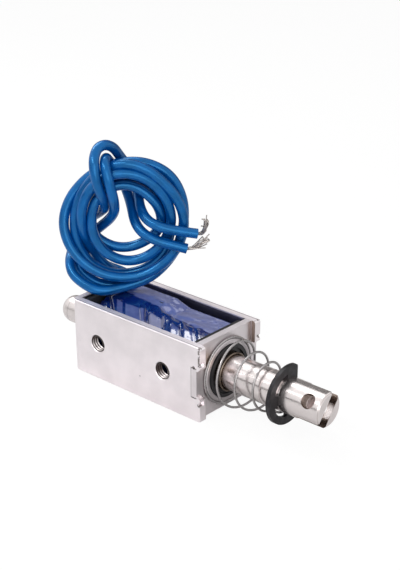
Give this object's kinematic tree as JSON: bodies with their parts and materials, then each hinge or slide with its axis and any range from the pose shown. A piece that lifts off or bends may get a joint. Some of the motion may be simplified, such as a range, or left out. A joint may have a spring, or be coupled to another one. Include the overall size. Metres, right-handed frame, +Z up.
{
  "type": "push pull solenoid",
  "caption": "Push-pull solenoid: open sheet-steel frame, film-wrapped coil, conical return spring, slotted plunger with retaining clip, rear push nub and coiled leads.",
  "frame": {"origin": "on the mounting face, the near wall's outer face, midway between its two tapped holes, so at the height of the plunger's axis", "axes": "+X along the plunger, towards its slotted end; +Y from the mounting face through the solenoid; +Z up, out of the frame's open top"},
  "size_m": [0.0593, 0.0215, 0.0408],
  "materials": {
    "plated_steel": "satin nickel plate",
    "nub_steel": "bright nickel plate",
    "plunger_steel": "turned and plated",
    "core_steel": "turned",
    "rod_steel": "ground",
    "spring_steel": "bright drawn",
    "clip_steel": "black oxide",
    "tube_metal": "smooth drawn",
    "shim_brass": "smooth",
    "bobbin_plastic": "moulded",
    "magnet_wire": "enamelled",
    "film": "glossy film",
    "pad_film": "paper tape",
    "solder": "bright",
    "sleeve": "shrunk sleeve",
    "lead_insulation": "smooth",
    "tinned_copper": "stranded"
  },
  "bodies": {
    "frame": {"frame_yoke": "plated_steel", "front_plate": "plated_steel", "collar_ring": "plated_steel", "bobbin": "bobbin_plastic", "guide_tube": "tube_metal", "pole_core": "core_steel", "stop_shim": "shim_brass", "coil_winding": "magnet_wire", "tape_wrap": "film", "joint_pad": "pad_film", "return_spring": "spring_steel", "solder_joint_a": "solder", "solder_joint_b": "solder", "splice_sleeve_a": "sleeve", "splice_sleeve_b": "sleeve", "coil_tail_start": "magnet_wire", "coil_tail_finish": "magnet_wire", "lead_riser_a": "lead_insulation", "lead_riser_b": "lead_insulation", "lead_hank": "lead_insulation", "lead_tail_a": "lead_insulation", "lead_tail_b": "lead_insulation", "conductor_a": "tinned_copper", "conductor_b": "tinned_copper"},
    "clip": {"e_clip": "clip_steel"},
    "plunger": {"plunger": "plunger_steel", "push_rod": "rod_steel", "push_cap": "nub_steel"}
  },
  "joints": [
    {"name": "plunger_slide", "type": "slide", "parent": "frame", "child": "clip", "axis": [1, 0, 0], "range_m": [-0.01, 0], "stiffness_N_per_m": 120, "springref_m": 0.004, "deforming": ["return_spring"]},
    {"name": "plunger_spin", "type": "hinge", "parent": "clip", "child": "plunger", "pos_m": [0.0278, 0.0075, 0], "axis": [1, 0, 0], "continuous": true}
  ]
}
